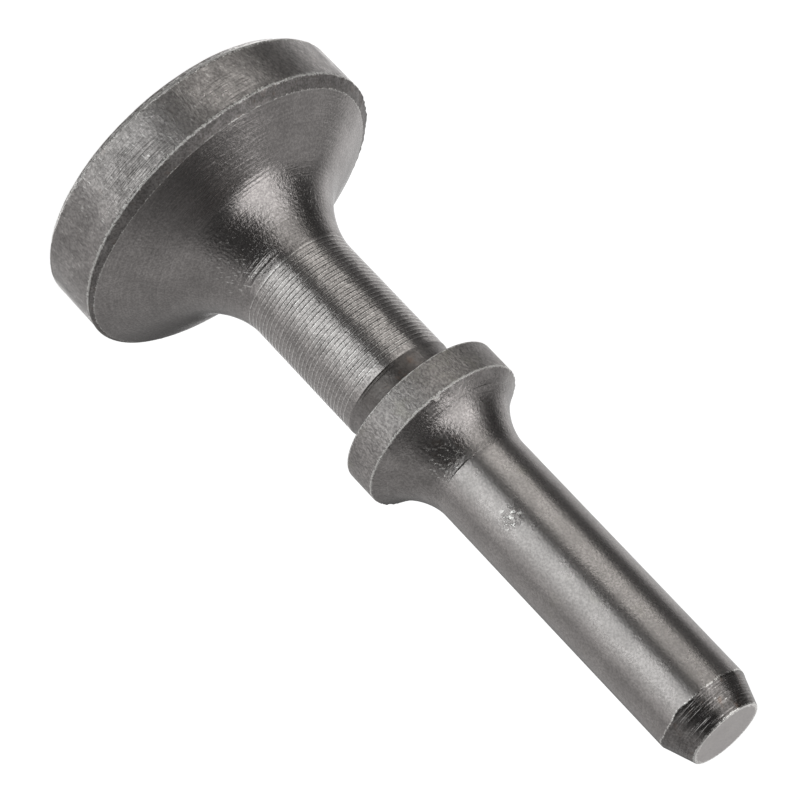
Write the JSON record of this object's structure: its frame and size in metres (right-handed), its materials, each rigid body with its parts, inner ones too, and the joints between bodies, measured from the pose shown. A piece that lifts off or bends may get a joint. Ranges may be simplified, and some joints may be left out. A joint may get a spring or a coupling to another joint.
{
  "type": "mushroom rivet set",
  "caption": "Mushroom rivet set: a wide flat head on a flared neck, a retaining collar, and a round shank that slides into a pneumatic rivet gun.",
  "frame": {"origin": "centre of the flat working face, on which the part stands", "axes": "+Z along the axis, from the working face to the shank's end; X and Y are free, because the part is turned"},
  "size_m": [0.0352, 0.0352, 0.0804],
  "materials": {
    "dark_steel": "turned steel with a worn dark oxide, satin"
  },
  "bodies": {
    "root": {"rivet_set": "dark_steel"}
  },
  "joints": []
}
